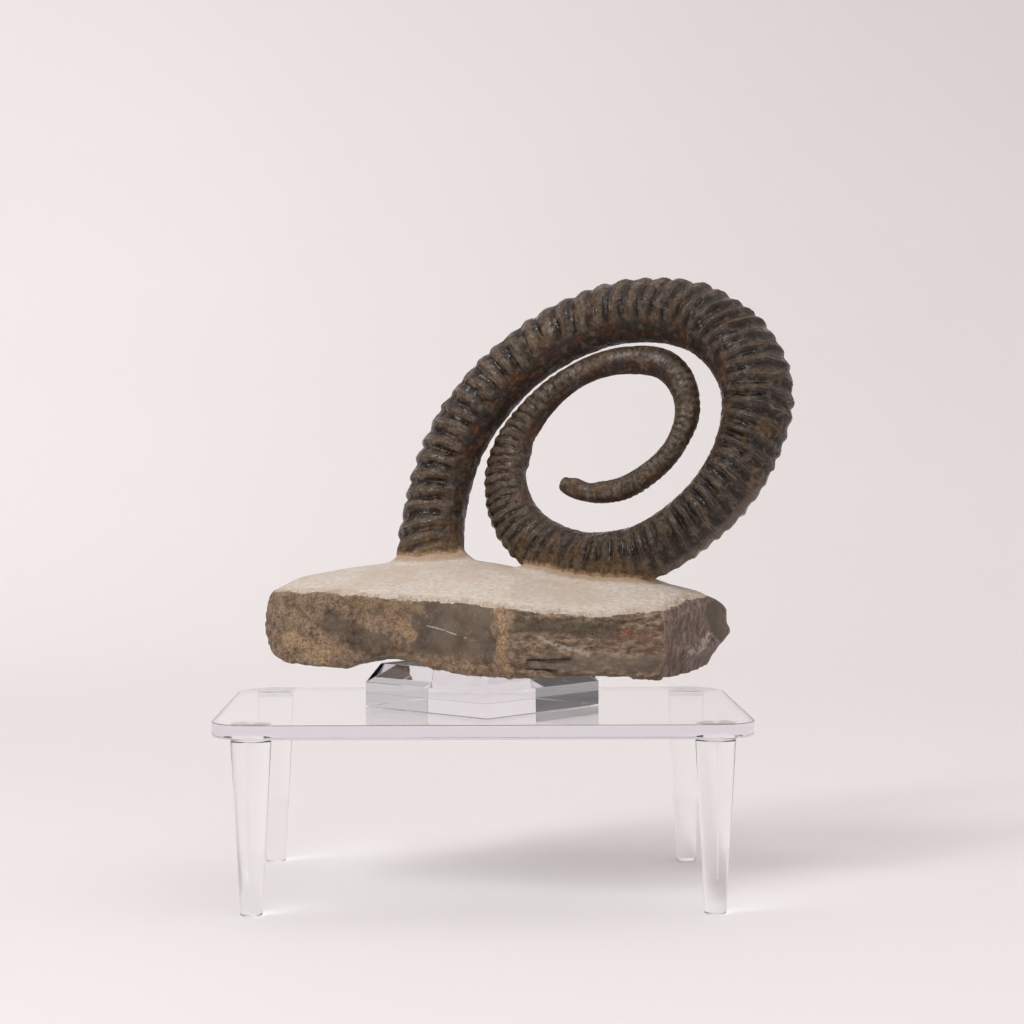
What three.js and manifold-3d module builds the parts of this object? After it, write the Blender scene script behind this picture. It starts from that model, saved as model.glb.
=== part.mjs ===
// An open-coiled fossil ammonite, prepared free of its rock and still standing on the block of
// matrix it was found in. The matrix rests on a bevelled clear acrylic block, and the block on a
// clear riser table with four plug-in legs.
//
// Millimetres, +Z up. X runs along the riser, -Y is the side the fossil is shown from. The floor
// is Z = 0, and the origin lies under the middle of the object's bounding box.

import * as THREE from "three";
import { mergeVertices } from "three/addons/utils/BufferGeometryUtils.js";
import Module from "manifold-3d";

const wasm = await Module();
wasm.setup();

// ---------------------------------------------------------------- driving dimensions

const FIT_GAP = 0.3; // left between pieces that rest on or in each other

const TABLE = {
  width: 305,
  depth: 204,
  height: 109,
  thickness: 8,
  cornerRadius: 24,
  edgeRound: 3,
};
const SOCKET = { radius: 11.6, height: 2, boreRadius: 6.4, boreDepth: 7 };
const LEG = {
  spacingX: 260,
  spacingY: 170,
  topRadius: 11.4,
  topRound: [0.5, 1], // drawn in, and down, at the shoulder
  footRadius: 6.2,
  footRound: 1.2,
};
const SEGMENTS = { socket: 12, bore: 10, leg: 12, tableCorner: 5 }; // around each turned piece

const BLOCK = { side: 98, height: 25.4, wallHeight: 14, bevelInset: 6.5, turn: 2.2, y: -4.5 };

const RIB = {
  relief: 0.21, // crest to valley on the last half turn, as a share of the rib spacing
  innerRelief: 0.12, // the same on the turn before
  dorsalRelief: 0.15, // share of the relief left on the inner side of the whorl
  ventralRelief: 0.35, // share left on the outer side where it is worn, low on the coil
  lean: 0.3, // of the ribs back towards the tip, over the top of the coil
  strengthens: [520, 740], // degrees over which the relief grows from innerRelief to relief
  worn: { from: 640, to: 690, width: 35 }, // degrees where the outer side is worn
  leaning: { from: 730, to: 820, width: 60 },
  dorsalSide: [0.45, 0.95], // how far inward a point must face, as a cosine: start and full
  ventralSide: [0.3, 0.8], // the same, outward
};
const RIBBED_FROM = 515; // degrees: ribs nearer the tip are too low to model
const SMOOTH_RING_STEP = 10; // degrees between rings there
const RIB_SEARCH_STEP = 0.1; // degrees
const TANGENT_STEP = 0.5; // degrees to each side
const WHORL_BREADTH = 0.88; // across the coil's plane, of the height in it
const RING_POINTS = 14;

// The coil lies in a plane that leans back and is turned a little to the left.
const COIL = { centre: [74.7, 0, 271.4], leanBack: 17.9, turn: 21.9 };
// [distance from the coil's centre, half-height of the whorl, rib spacing], every 30 degrees over
// two turns, from the tip at the middle to the end that is buried in the matrix.
const COIL_START = 230;
const COIL_STEP = 30;
const COIL_STATIONS = [
  [41.0, 4.4, 3],
  [37.7, 5.7, 3],
  [37.0, 6.8, 3],
  [38.1, 6.7, 3],
  [43.5, 6.5, 3.2],
  [50.6, 7.7, 3.3],
  [52.6, 9.0, 3.3],
  [45.9, 8.5, 3.5],
  [42.7, 7.7, 3.8],
  [44.2, 8.1, 4.1],
  [51.4, 9.8, 4.5],
  [66.1, 12.0, 5.2],
  [76.2, 14.9, 6.0],
  [79.2, 16.5, 6.6],
  [79.4, 17.0, 6.7],
  [79.8, 17.5, 6.5],
  [85.6, 19.0, 6.3],
  [92.9, 21.4, 6.4],
  [88.0, 20.4, 7.4],
  [78.2, 19.4, 9.6],
  [72.5, 18.5, 10.6],
  [74.7, 18.0, 10.3],
  [87.0, 18.7, 10],
  [110.3, 19.3, 10],
  [142.0, 21.0, 10],
];

// The matrix in plan, from its left end along the front and round the back:
// [x, y, height of the lower edge, height of the upper edge].
const MATRIX_EDGE = [
  [-130.5, -6, 139.5, 177],
  [-121, -24, 137, 177],
  [-105, -39, 136, 178],
  [-82, -52, 136, 177],
  [-57, -61, 144, 176],
  [-30, -69, 136.5, 174],
  [-8, -75, 131.5, 173],
  [15, -79, 131, 171],
  [42, -81, 133.5, 168],
  [66, -80, 134, 167],
  [88, -76, 132, 168],
  [104, -70, 130.5, 169],
  [121, -51, 131.5, 174],
  [136, -32, 135.5, 176],
  [145.5, -10, 145, 170],
  [145, 9, 148, 168],
  [134, 27, 142, 171],
  [111, 41, 137, 173],
  [78, 51, 136, 174],
  [42, 58, 137, 176],
  [4, 61, 139, 178],
  [-36, 57, 137, 179],
  [-72, 48, 137, 178],
  [-101, 34, 139, 177],
  [-121, 16, 141, 177],
];
const MATRIX = {
  centre: [6, -8],
  crestTrack: { from: [-29, 14], to: [90, -28] }, // where the top of the dome runs, in plan
  crestMargin: 0.3, // share of the width that the crest keeps from the front and the back
  domePower: 1.9,
  columns: 65,
  topRings: 9,
  underside: [0.3, 0.6, 0.82], // where its rings lie, as shares of the way to the lip
  seatRadius: 46, // from the centre: the underside is flat to here, then rises to its edge
  lipWidth: 4.5,
  topLump: 1.4, // unevenness of the upper edge
  sideLump: 2.8,
};
// Height of the dome along its middle: [x, z].
const DOME_CREST = [
  [-135, 173],
  [-127, 176],
  [-121, 180.5],
  [-116, 183],
  [-107, 185.3],
  [-93, 187.7],
  [-74, 191],
  [-50, 193.5],
  [-28, 195.5],
  [-9, 195.5],
  [10, 193],
  [25, 190],
  [46, 187],
  [69, 185],
  [92, 183.5],
  [112, 182],
  [128, 177.5],
  [150, 167],
];
// Side of the matrix from its lower edge to its upper one: [share of the height, mm drawn in].
const MATRIX_SIDE = [
  [0, 4.5],
  [0.1, 2],
  [0.32, 0.5],
  [0.58, 0],
  [0.84, 1],
  [1, 3.5],
];
// Where the dome swells up to carry the shell: around the limb, and along the foot of the coil.
const MATRIX_SWELLS = [
  { from: [-29, 18], to: [-29, 18], inner: 17, outer: 25, rise: 4.5 },
  { from: [38, -13], to: [86, -32], inner: 10, outer: 21, rise: 5.5 },
];
// Where its underside arches up, clear of the left corner of the acrylic block.
const MATRIX_HOLLOWS = [{ from: [-54, -60], to: [-54, -8], inner: 8, outer: 24, rise: 7 }];
// Slots where the bedding of the matrix has opened: place, size and slope.
const MATRIX_SLOTS = [
  { at: [30, -84, 141.5], size: [36, 12, 1.8], slope: -4 },
  { at: [45, -84, 154], size: [24, 9, 1.2], slope: 5 },
];

// ---------------------------------------------------------------- solids and meshes

const rad = THREE.MathUtils.degToRad;

// A closed geometry as a manifold-3d solid.
function solidOf(geometry) {
  const bare = new THREE.BufferGeometry().setAttribute("position", geometry.getAttribute("position"));
  bare.setIndex(geometry.getIndex());
  const merged = mergeVertices(bare, 1e-3);
  return new wasm.Manifold(
    new wasm.Mesh({
      numProp: 3,
      vertProperties: merged.attributes.position.array,
      triVerts: new Uint32Array(merged.index.array),
    }),
  );
}

function geometryOf(solid) {
  const { numProp, vertProperties, triVerts } = solid.getMesh();
  const geometry = new THREE.BufferGeometry();
  const interleaved = new THREE.InterleavedBuffer(vertProperties, numProp);
  geometry.setAttribute("position", new THREE.InterleavedBufferAttribute(interleaved, 3, 0));
  geometry.setIndex(new THREE.BufferAttribute(triVerts, 1));
  return geometry.toNonIndexed();
}

// A closed skin over rings of points: each ring has the same count, and each end is drawn to a point.
function skinOverRings(rings, startPoint, endPoint) {
  const count = rings[0].length;
  const positions = [startPoint, ...rings.flat(), endPoint].flatMap((p) => [p.x, p.y, p.z]);
  const last = 1 + rings.length * count;
  const index = [];
  for (let i = 0; i < count; i++) {
    const next = (i + 1) % count;
    index.push(0, 1 + next, 1 + i);
    index.push(last, last - count + i, last - count + next);
  }
  for (let r = 0; r + 1 < rings.length; r++) {
    for (let i = 0; i < count; i++) {
      const next = (i + 1) % count;
      const a = 1 + r * count;
      const b = a + count;
      index.push(a + i, a + next, b + i);
      index.push(a + next, b + next, b + i);
    }
  }
  const geometry = new THREE.BufferGeometry();
  geometry.setAttribute("position", new THREE.Float32BufferAttribute(positions, 3));
  geometry.setIndex(index);
  return geometry;
}

function mesh(name, geometry, material) {
  geometry.deleteAttribute("uv");
  geometry.computeVertexNormals();
  const made = new THREE.Mesh(geometry, material);
  made.name = name;
  return made;
}

// ---------------------------------------------------------------- materials

const shellStone = new THREE.MeshStandardMaterial({ color: 0x40382f, roughness: 0.45, metalness: 0 });
const matrixStone = new THREE.MeshStandardMaterial({ color: 0x8d7b66, roughness: 0.9, metalness: 0 });
const clearAcrylic = new THREE.MeshStandardMaterial({
  color: 0xeef0f4,
  roughness: 0.05,
  metalness: 0,
  transparent: true,
  opacity: 0.3,
});

// ---------------------------------------------------------------- the riser table

function roundedRectangle(width, depth, radius) {
  const x = width / 2;
  const y = depth / 2;
  const shape = new THREE.Shape();
  shape.moveTo(-x + radius, -y);
  shape.lineTo(x - radius, -y);
  shape.absarc(x - radius, -y + radius, radius, -Math.PI / 2, 0);
  shape.lineTo(x, y - radius);
  shape.absarc(x - radius, y - radius, radius, 0, Math.PI / 2);
  shape.lineTo(-x + radius, y);
  shape.absarc(-x + radius, y - radius, radius, Math.PI / 2, Math.PI);
  shape.lineTo(-x, -y + radius);
  shape.absarc(-x + radius, -y + radius, radius, Math.PI, 1.5 * Math.PI);
  return shape;
}

function uprightCylinder(radius, height, segments, x, y, bottom) {
  const cylinder = new THREE.CylinderGeometry(radius, radius, height, segments);
  return cylinder.rotateX(Math.PI / 2).translate(x, y, bottom + height / 2);
}

const legPlaces = [
  ["front_left", -1, -1],
  ["front_right", 1, -1],
  ["back_left", -1, 1],
  ["back_right", 1, 1],
].map(([name, sideX, sideY]) => ({ name, x: (sideX * LEG.spacingX) / 2, y: (sideY * LEG.spacingY) / 2 }));

function tableTop() {
  const { width, depth, height, thickness, cornerRadius, edgeRound } = TABLE;
  const inset = 2 * edgeRound;
  const outline = roundedRectangle(width - inset, depth - inset, cornerRadius - edgeRound);
  const plate = new THREE.ExtrudeGeometry(outline, {
    depth: thickness - inset,
    bevelThickness: edgeRound,
    bevelSize: edgeRound,
    bevelSegments: 1,
    curveSegments: SEGMENTS.tableCorner,
  }).translate(0, 0, height - thickness + edgeRound);
  let solid = solidOf(plate);
  const underside = height - thickness;
  for (const { x, y } of legPlaces) {
    const bottom = underside - SOCKET.height;
    const boss = uprightCylinder(SOCKET.radius, SOCKET.height + 1, SEGMENTS.socket, x, y, bottom);
    const { boreRadius, boreDepth } = SOCKET;
    const bore = uprightCylinder(boreRadius, boreDepth + 1, SEGMENTS.bore, x, y, bottom - 1);
    solid = solid.add(solidOf(boss)).subtract(solidOf(bore));
  }
  return geometryOf(solid);
}

// A tapered leg with a rounded foot and a spigot that plugs into the socket above it.
function leg() {
  const { topRadius, topRound, footRadius, footRound } = LEG;
  const shoulder = TABLE.height - TABLE.thickness - SOCKET.height - FIT_GAP;
  const spigotTop = shoulder + SOCKET.boreDepth - FIT_GAP;
  const spigotRadius = SOCKET.boreRadius * Math.cos(Math.PI / SEGMENTS.bore) - FIT_GAP;
  const profile = [
    [0, 0],
    [footRadius - footRound, 0],
    [footRadius - 0.3 * footRound, 0.3 * footRound],
    [footRadius, footRound],
    [topRadius, shoulder - topRound[1]],
    [topRadius - topRound[0], shoulder],
    [spigotRadius, shoulder],
    [spigotRadius, spigotTop],
    [0, spigotTop],
  ].map(([r, z]) => new THREE.Vector2(r, z));
  return new THREE.LatheGeometry(profile, SEGMENTS.leg).rotateX(Math.PI / 2);
}

// ---------------------------------------------------------------- the acrylic block

// A square block turned as a four-sided lathe, so that one corner faces forward.
function acrylicBlock() {
  const { side, height, wallHeight, bevelInset, turn, y } = BLOCK;
  const corner = side / Math.SQRT2;
  const profile = [
    [0, 0],
    [corner, 0],
    [corner, wallHeight],
    [corner - bevelInset * Math.SQRT2, height],
    [0, height],
  ].map(([r, z]) => new THREE.Vector2(r, z));
  return new THREE.LatheGeometry(profile, 4)
    .rotateX(Math.PI / 2)
    .rotateZ(rad(turn))
    .translate(0, y, TABLE.height + FIT_GAP);
}

// ---------------------------------------------------------------- the matrix

const seatHeight = TABLE.height + FIT_GAP + BLOCK.height + FIT_GAP;

// Uneven stone: a few crossed waves, about -1 to 1.
function unevenness(x, y, z) {
  const a = Math.sin(x * 0.131 + z * 0.21 + 1.3) * Math.cos(y * 0.117 - z * 0.16);
  const b = Math.sin(x * 0.29 - y * 0.23 + z * 0.37 + 0.6);
  const c = Math.cos(x * 0.47 + y * 0.41 - z * 0.55);
  return 0.5 * a + 0.32 * b + 0.24 * c;
}

// Where a ray from the matrix's centre at this angle meets its edge: { reach, dx, dy, low, high }.
function edgeAt(angle) {
  const [cx, cy] = MATRIX.centre;
  const dx = Math.cos(angle);
  const dy = Math.sin(angle);
  for (let i = 0; i < MATRIX_EDGE.length; i++) {
    const [ax, ay, aLow, aHigh] = MATRIX_EDGE[i];
    const [bx, by, bLow, bHigh] = MATRIX_EDGE[(i + 1) % MATRIX_EDGE.length];
    const sx = bx - ax;
    const sy = by - ay;
    const cross = dx * sy - dy * sx;
    const reach = ((ax - cx) * sy - (ay - cy) * sx) / cross;
    const share = ((ax - cx) * dy - (ay - cy) * dx) / cross;
    if (cross > 0 && reach > 0 && share >= 0 && share <= 1) {
      return {
        reach,
        dx,
        dy,
        low: THREE.MathUtils.lerp(aLow, bLow, share),
        high: THREE.MathUtils.lerp(aHigh, bHigh, share),
      };
    }
  }
  throw new Error("the matrix's edge is open at " + angle);
}

function crestHeight(x) {
  const next = DOME_CREST.findIndex(([crestX]) => crestX > x);
  const [ax, az] = DOME_CREST[next - 1];
  const [bx, bz] = DOME_CREST[next];
  return THREE.MathUtils.lerp(az, bz, (x - ax) / (bx - ax));
}

// The front and back edges of the matrix on the line at this x: [{ y, high }, { y, high }].
function edgesAcross(x) {
  const crossings = [];
  MATRIX_EDGE.forEach(([ax, ay, , aHigh], i) => {
    const [bx, by, , bHigh] = MATRIX_EDGE[(i + 1) % MATRIX_EDGE.length];
    if (ax <= x !== bx <= x) {
      const share = (x - ax) / (bx - ax);
      const { lerp } = THREE.MathUtils;
      crossings.push({ y: lerp(ay, by, share), high: lerp(aHigh, bHigh, share) });
    }
  });
  return crossings.sort((a, b) => a.y - b.y);
}

function distanceToSegment(x, y, from, to) {
  const start = new THREE.Vector3(...from, 0);
  const end = new THREE.Vector3(...to, 0);
  const point = new THREE.Vector3(x, y, 0);
  if (start.equals(end)) {
    return start.distanceTo(point);
  }
  const line = new THREE.Line3(start, end);
  return line.closestPointToPoint(point, true, new THREE.Vector3()).distanceTo(point);
}

// The rise that swells or hollows, each lying along a line, give at this place.
function swelling(x, y, swells) {
  let rise = 0;
  for (const swell of swells) {
    const away = distanceToSegment(x, y, swell.from, swell.to);
    const beyond = THREE.MathUtils.clamp((away - swell.inner) / (swell.outer - swell.inner), 0, 1);
    rise += swell.rise * (1 - beyond) ** 2;
  }
  return rise;
}

function domeHeight(x, y) {
  const [front, back] = edgesAcross(x);
  const { clamp, lerp } = THREE.MathUtils;
  const { from, to } = MATRIX.crestTrack;
  const track = lerp(from[1], to[1], clamp((x - from[0]) / (to[0] - from[0]), 0, 1));
  const margin = MATRIX.crestMargin * (back.y - front.y);
  const crestY = clamp(track, front.y + margin, back.y - margin);
  const edge = y < crestY ? front : back;
  const away = Math.min(1, (y - crestY) / (edge.y - crestY));
  const dome = (crestHeight(x) - edge.high) * (1 - away ** MATRIX.domePower);
  return edge.high + dome + swelling(x, y, MATRIX_SWELLS);
}

// The rock, its dome raised by grow.
function matrixBody(grow) {
  const [cx, cy] = MATRIX.centre;
  const edges = [];
  for (let i = 0; i < MATRIX.columns; i++) {
    edges.push(edgeAt((2 * Math.PI * i) / MATRIX.columns));
  }
  const rings = [];
  for (const share of [...MATRIX.underside, 1]) {
    const ring = edges.map(({ reach, dx, dy, low }) => {
      const away = share * (reach - MATRIX_SIDE[0][1] - MATRIX.lipWidth);
      const x = cx + away * dx;
      const y = cy + away * dy;
      const blend = THREE.MathUtils.smoothstep(away, MATRIX.seatRadius, reach);
      const toEdge = blend * Math.max(0, low - seatHeight);
      return new THREE.Vector3(x, y, seatHeight + toEdge + swelling(x, y, MATRIX_HOLLOWS));
    });
    rings.push(ring);
  }
  for (const [share, inset] of MATRIX_SIDE) {
    const ring = edges.map(({ reach, dx, dy, low, high }) => {
      const z = THREE.MathUtils.lerp(low, high, share);
      const lump = share < 1 ? MATRIX.sideLump : MATRIX.topLump;
      const away = reach - inset + lump * unevenness(cx + reach * dx, cy + reach * dy, z);
      const raised = share === 1 ? grow : 0;
      return new THREE.Vector3(cx + away * dx, cy + away * dy, z + raised);
    });
    rings.push(ring);
  }
  for (let r = MATRIX.topRings; r >= 1; r--) {
    const share = r / (MATRIX.topRings + 1);
    const ring = edges.map(({ reach, dx, dy }) => {
      const away = share * (reach - MATRIX_SIDE.at(-1)[1]);
      const x = cx + away * dx;
      const y = cy + away * dy;
      return new THREE.Vector3(x, y, domeHeight(x, y) + grow);
    });
    rings.push(ring);
  }
  const underside = new THREE.Vector3(cx, cy, seatHeight);
  const top = new THREE.Vector3(cx, cy, domeHeight(cx, cy) + grow);
  return solidOf(skinOverRings(rings, underside, top));
}

function matrixBlock() {
  let body = matrixBody(0);
  for (const { at, size, slope } of MATRIX_SLOTS) {
    const slot = new THREE.BoxGeometry(...size).rotateY(rad(slope)).translate(...at);
    body = body.subtract(solidOf(slot));
  }
  return geometryOf(body);
}

// ---------------------------------------------------------------- the ammonite

const COIL_END = COIL_START + (COIL_STATIONS.length - 1) * COIL_STEP;
const [distanceCurve, halfHeightCurve, ribSpacingCurve] = [0, 1, 2].map((column) => {
  return new THREE.SplineCurve(COIL_STATIONS.map((station, i) => new THREE.Vector2(i, station[column])));
});

// A point of the coil's centreline, in its own plane with x to the right and z up it.
function coilAt(degrees) {
  const share = (degrees - COIL_START) / (COIL_END - COIL_START);
  const distance = distanceCurve.getPoint(share).y;
  const angle = rad(degrees);
  return {
    point: new THREE.Vector3(distance * Math.cos(angle), 0, distance * Math.sin(angle)),
    halfHeight: halfHeightCurve.getPoint(share).y,
    ribSpacing: ribSpacingCurve.getPoint(share).y,
  };
}

// Rings along the coil: sparse near the tip, then two to a rib, on its crest and in its valley.
function ringPlaces() {
  const places = [];
  for (let degrees = COIL_START; degrees < RIBBED_FROM; degrees += SMOOTH_RING_STEP) {
    places.push({ degrees, side: 0 });
  }
  let ribs = 0;
  let before = coilAt(RIBBED_FROM).point;
  for (let degrees = RIBBED_FROM; degrees <= COIL_END; degrees += RIB_SEARCH_STEP) {
    const { point, ribSpacing } = coilAt(degrees);
    const halfRibs = Math.floor(2 * ribs);
    ribs += point.distanceTo(before) / ribSpacing;
    before = point;
    if (Math.floor(2 * ribs) > halfRibs) {
      places.push({ degrees, side: halfRibs % 2 === 0 ? 1 : -1 });
    }
  }
  return places;
}

// 1 between the two angles, falling to 0 over the given width on either side.
function between(degrees, { from, to, width }) {
  const rise = THREE.MathUtils.smoothstep(degrees, from - width, from);
  return rise * (1 - THREE.MathUtils.smoothstep(degrees, to, to + width));
}

// One ring of the coil; side is 1 on a rib's crest, -1 in a valley and 0 where there are no ribs.
function coilRing({ degrees, side }) {
  const { lerp, smoothstep } = THREE.MathUtils;
  const { point, halfHeight, ribSpacing } = coilAt(degrees);
  const ahead = coilAt(Math.min(COIL_END, degrees + TANGENT_STEP)).point;
  const behind = coilAt(Math.max(COIL_START, degrees - TANGENT_STEP)).point;
  const tangent = ahead.sub(behind).normalize();
  const outward = new THREE.Vector3(tangent.z, 0, -tangent.x);
  const across = new THREE.Vector3(0, 1, 0);
  const strength = smoothstep(degrees, ...RIB.strengthens);
  const relief = ribSpacing * lerp(RIB.innerRelief, RIB.relief, strength);
  const worn = between(degrees, RIB.worn);
  const lean = RIB.lean * between(degrees, RIB.leaning);
  const ring = [];
  for (let i = 0; i < RING_POINTS; i++) {
    const around = (2 * Math.PI * i) / RING_POINTS;
    const dorsal = smoothstep(-Math.cos(around), ...RIB.dorsalSide);
    const ventral = smoothstep(Math.cos(around), ...RIB.ventralSide) * worn;
    const fade = lerp(1, RIB.dorsalRelief, dorsal) * lerp(1, RIB.ventralRelief, ventral);
    const lift = (side * relief * fade) / 2;
    const place = point.clone();
    place.addScaledVector(outward, (halfHeight + lift) * Math.cos(around));
    place.addScaledVector(across, (halfHeight * WHORL_BREADTH + lift) * Math.sin(around));
    place.addScaledVector(tangent, -lean * halfHeight * Math.cos(around));
    ring.push(place);
  }
  return ring;
}

function ammonite() {
  const rings = ringPlaces().map(coilRing);
  const skin = skinOverRings(rings, coilAt(COIL_START).point, coilAt(COIL_END).point);
  const lean = new THREE.Matrix4().makeRotationX(rad(-COIL.leanBack));
  const turn = new THREE.Matrix4().makeRotationZ(rad(-COIL.turn));
  const place = new THREE.Matrix4().makeTranslation(...COIL.centre);
  skin.applyMatrix4(place.multiply(turn).multiply(lean));
  return geometryOf(solidOf(skin).subtract(matrixBody(FIT_GAP)));
}

// ---------------------------------------------------------------- the object

const object = new THREE.Group();
object.name = "fossil_ammonite";
object.add(mesh("ammonite_shell", ammonite(), shellStone));
object.add(mesh("matrix_block", matrixBlock(), matrixStone));
object.add(mesh("acrylic_block", acrylicBlock(), clearAcrylic));

const riser = new THREE.Group();
riser.add(mesh("riser_top", tableTop(), clearAcrylic));
for (const { name, x, y } of legPlaces) {
  const made = mesh("riser_leg_" + name, leg(), clearAcrylic);
  made.position.set(x, y, 0);
  riser.add(made);
}
object.add(riser);

object.updateMatrixWorld(true);
const middle = new THREE.Box3().setFromObject(object, true).getCenter(new THREE.Vector3());
object.position.set(-middle.x, -middle.y, 0);

export default object;
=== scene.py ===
"""An open-coiled fossil ammonite on its block of matrix, on a bevelled acrylic block and a clear riser table.

The shell is swept along the same coil as its solid, with every rib modelled. The matrix starts from its
solid and is broken up into stone. The acrylic pieces are turned and rounded. Lengths are in millimetres
in the tables and in metres once they are built.
"""

import math

import bmesh
import bpy
import numpy as np
from mathutils import Matrix, Vector, noise
from mathutils.bvhtree import BVHTree


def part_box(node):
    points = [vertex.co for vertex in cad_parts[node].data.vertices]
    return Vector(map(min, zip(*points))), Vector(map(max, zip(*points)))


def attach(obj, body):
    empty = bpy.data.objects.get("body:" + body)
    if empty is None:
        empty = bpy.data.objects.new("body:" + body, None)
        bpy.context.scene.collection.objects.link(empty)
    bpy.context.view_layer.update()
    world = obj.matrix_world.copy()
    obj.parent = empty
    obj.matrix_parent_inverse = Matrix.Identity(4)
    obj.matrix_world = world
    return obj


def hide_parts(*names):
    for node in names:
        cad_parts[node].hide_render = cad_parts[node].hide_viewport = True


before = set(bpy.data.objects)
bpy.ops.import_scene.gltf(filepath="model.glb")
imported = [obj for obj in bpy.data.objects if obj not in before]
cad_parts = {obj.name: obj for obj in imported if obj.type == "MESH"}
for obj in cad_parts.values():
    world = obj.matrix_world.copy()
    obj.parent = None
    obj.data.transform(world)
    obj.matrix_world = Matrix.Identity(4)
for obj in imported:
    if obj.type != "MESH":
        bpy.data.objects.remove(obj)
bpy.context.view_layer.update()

MM = 0.001
random = np.random.default_rng(7)


def node_middle(node):
    low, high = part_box(node)
    return (low + high) / 2


# The stand is centred on the table, and every place below is counted from there, on the floor.
TABLE_CENTRE = Vector((node_middle("riser_top").x, node_middle("riser_top").y, 0))


def add_object(name, data):
    made = bpy.data.objects.new(name, data)
    bpy.context.scene.collection.objects.link(made)
    return made


# ---- camera, stage and lights


FOCAL_LENGTH = 81.07
CAMERA_PLACE = (-0.012, -1.371, 0.262)
CAMERA_DOWN = 1.593  # degrees below level
CAMERA_RIGHT = 0.0216  # radians, to the right of straight ahead
FLOOR_FRONT, FLOOR_BACK = -2.6, 1.3
SWEEP_RADIUS = 1.2
BACKDROP_HEIGHT = 4.0
BACKDROP_HALF_WIDTH = 4.5
LAMP_AIM = (0, 0, 0.18)
LAMP_TINT = (0.975, 1, 1)


def place_camera():
    camera_data = bpy.data.cameras.new("camera")
    camera_data.sensor_width = 36
    camera_data.lens = FOCAL_LENGTH
    camera = add_object("camera", camera_data)
    camera.location = TABLE_CENTRE + Vector(CAMERA_PLACE)
    camera.rotation_euler = (math.radians(90 - CAMERA_DOWN), 0, -CAMERA_RIGHT)
    bpy.context.scene.camera = camera


def sweep_stage():
    """A floor that curves up into a backdrop."""
    profile = [(FLOOR_FRONT, 0.0), (FLOOR_BACK, 0.0)]
    steps = 24
    for i in range(1, steps + 1):
        angle = i / steps * math.pi / 2
        profile.append((FLOOR_BACK + SWEEP_RADIUS * math.sin(angle), SWEEP_RADIUS * (1 - math.cos(angle))))
    profile.append((FLOOR_BACK + SWEEP_RADIUS, BACKDROP_HEIGHT))
    mesh = bpy.data.meshes.new("backdrop")
    verts = [(x, y, z) for y, z in profile for x in (-BACKDROP_HALF_WIDTH, BACKDROP_HALF_WIDTH)]
    faces = [(2 * i, 2 * i + 1, 2 * i + 3, 2 * i + 2) for i in range(len(profile) - 1)]
    mesh.from_pydata(verts, [], faces)
    mesh.shade_smooth()
    stage = add_object("backdrop", mesh)
    stage.data.materials.append(paper_material())


def area_light(name, place, target, size, energy, colour):
    data = bpy.data.lights.new(name, "AREA")
    data.shape = "DISK"
    data.size = size
    data.energy = energy
    data.color = colour
    lamp = add_object(name, data)
    lamp.location = place
    lamp.rotation_euler = (Vector(target) - Vector(place)).to_track_quat("-Z", "Y").to_euler()
    return lamp


def light_scene():
    area_light("key", (-1.75, -2.15, 3.45), LAMP_AIM, 1.85, 59, LAMP_TINT)
    area_light("streak", (-1.5, -1.45, 1.55), LAMP_AIM, 0.34, 8.5, LAMP_TINT)
    backdrop = area_light("backdrop_light", (-1.7, 1.0, 1.1), (0.3, 2.5, 0.9), 0.9, 3.7, (0.99, 0.985, 0.985))
    backdrop.data.spread = math.radians(110)
    world = bpy.data.worlds.new("studio")
    world.use_nodes = True
    tree = world.node_tree
    background = tree.nodes["Background"]
    background.inputs["Color"].default_value = (1, 0.945, 0.93, 1)
    direction = tree.nodes.new("ShaderNodeTexCoord").outputs["Generated"]

    # Brightest overhead, and brighter from the right than from the left: weights are (x, y, z).
    level = direction
    for kind, operation, amount in (
        ("ShaderNodeVectorMath", "DOT_PRODUCT", (0.24, 0.02, 0.72)),
        ("ShaderNodeMath", "ADD", 0.3),
        ("ShaderNodeMath", "MAXIMUM", 0.1),
    ):
        node = tree.nodes.new(kind)
        node.operation = operation
        node.inputs[1].default_value = amount
        tree.links.new(level, node.inputs[0])
        level = node.outputs["Value"]
    tree.links.new(level, background.inputs["Strength"])
    bpy.context.scene.world = world


# ---- material helpers


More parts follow.
